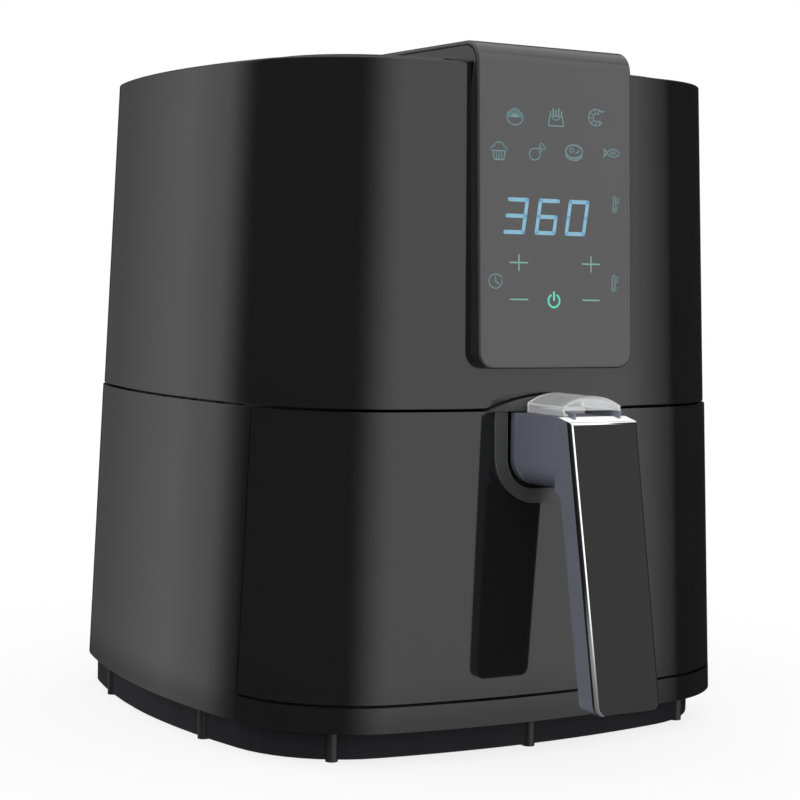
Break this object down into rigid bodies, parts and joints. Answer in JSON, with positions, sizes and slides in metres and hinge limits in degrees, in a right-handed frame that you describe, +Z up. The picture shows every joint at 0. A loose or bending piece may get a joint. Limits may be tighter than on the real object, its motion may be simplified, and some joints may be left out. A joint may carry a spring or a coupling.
{
  "type": "air fryer",
  "caption": "Countertop air fryer with a bowed glossy body, touch panel wrapping over the top, pull-out drawer with basket, leaning handle and guarded release button.",
  "frame": {"origin": "on the worktop under the fan axis, in the plane of the feet", "axes": "+Z up along the fan axis, -Y towards the drawer handle, +X to the right seen from the front"},
  "size_m": [0.2724, 0.3394, 0.3142],
  "materials": {
    "gloss_housing": "high gloss",
    "satin_black": "satin",
    "touch_lens": "polished acrylic",
    "handle_grey": "satin",
    "handle_face": "satin gloss",
    "foot_plastic": "moulded",
    "sheet_steel": "mill finish",
    "nonstick": "non-stick coating",
    "element_sheath": "heat-darkened",
    "core_laminations": "stamped",
    "copper": "enamelled wire",
    "bronze": "sintered",
    "circuit_board": "solder mask",
    "transformer": "taped",
    "relay": "moulded",
    "capacitor": "sleeved",
    "white_plastic": "moulded",
    "button": "satin",
    "clear_plastic": "clear polished",
    "wire": "insulation",
    "screw_steel": "zinc plated"
  },
  "bodies": {
    "housing": {"base_plate": "satin_black", "feet": "foot_plastic", "base_screws": "screw_steel", "lower_housing": "gloss_housing", "bay_frame": "satin_black", "chamber_liner": "sheet_steel", "drawer_rails": "sheet_steel", "upper_housing": "gloss_housing", "top_cover": "gloss_housing", "control_band": "satin_black", "touch_lens": "touch_lens", "display_module": "satin_black", "control_board": "circuit_board", "buzzer": "satin_black", "chamber_bowl": "sheet_steel", "deck_screws": "screw_steel", "heating_element": "element_sheath", "element_clips": "sheet_steel", "heater_guard": "sheet_steel", "temperature_probe": "screw_steel", "thermal_fuse": "screw_steel", "exhaust_duct": "sheet_steel", "rear_vent": "satin_black", "motor_bracket": "sheet_steel", "motor_stator": "core_laminations", "motor_windings": "copper", "motor_frame": "sheet_steel", "motor_bearings": "bronze", "motor_screws": "screw_steel", "board_bracket": "sheet_steel", "power_board": "circuit_board", "transformer": "transformer", "relay": "relay", "capacitors": "capacitor", "terminal_block": "white_plastic", "cord_gland": "satin_black", "wiring_loom": "wire", "switch_body": "satin_black"},
    "rotor": {"fan_shaft": "screw_steel", "convection_fan": "sheet_steel", "cooling_fan": "satin_black", "fan_nut": "screw_steel"},
    "drawer": {"drawer_front": "gloss_housing", "drawer_inner": "satin_black", "pan": "nonstick", "pan_screws": "screw_steel", "basket": "nonstick", "basket_bracket": "satin_black", "handle_shell": "handle_grey", "handle_face": "handle_face", "handle_shoulder": "satin_black", "handle_collar": "satin_black", "handle_screws": "screw_steel", "button_spring": "screw_steel"},
    "button": {"release_button": "button", "button_latch": "screw_steel"},
    "guard": {"button_guard": "clear_plastic"},
    "plunger": {"switch_plunger": "white_plastic"}
  },
  "joints": [
    {"name": "drawer_slide", "type": "slide", "parent": "housing", "child": "drawer", "axis": [0, -1, 0], "range_m": [0, 0.165]},
    {"name": "fan_spin", "type": "hinge", "parent": "housing", "child": "rotor", "pos_m": [0, 0, 0.2], "axis": [0, 0, 1], "continuous": true},
    {"name": "button_press", "type": "slide", "parent": "drawer", "child": "button", "axis": [0, 0, -1], "range_m": [0, 0.003], "stiffness_N_per_m": 350, "springref_m": -0.001, "deforming": ["button_spring"]},
    {"name": "guard_slide", "type": "slide", "parent": "drawer", "child": "guard", "axis": [0, -1, 0], "range_m": [0, 0.009]},
    {"name": "plunger_press", "type": "slide", "parent": "housing", "child": "plunger", "axis": [0, 1, 0], "range_m": [0, 0.0008], "stiffness_N_per_m": 200, "springref_m": -0.001}
  ]
}
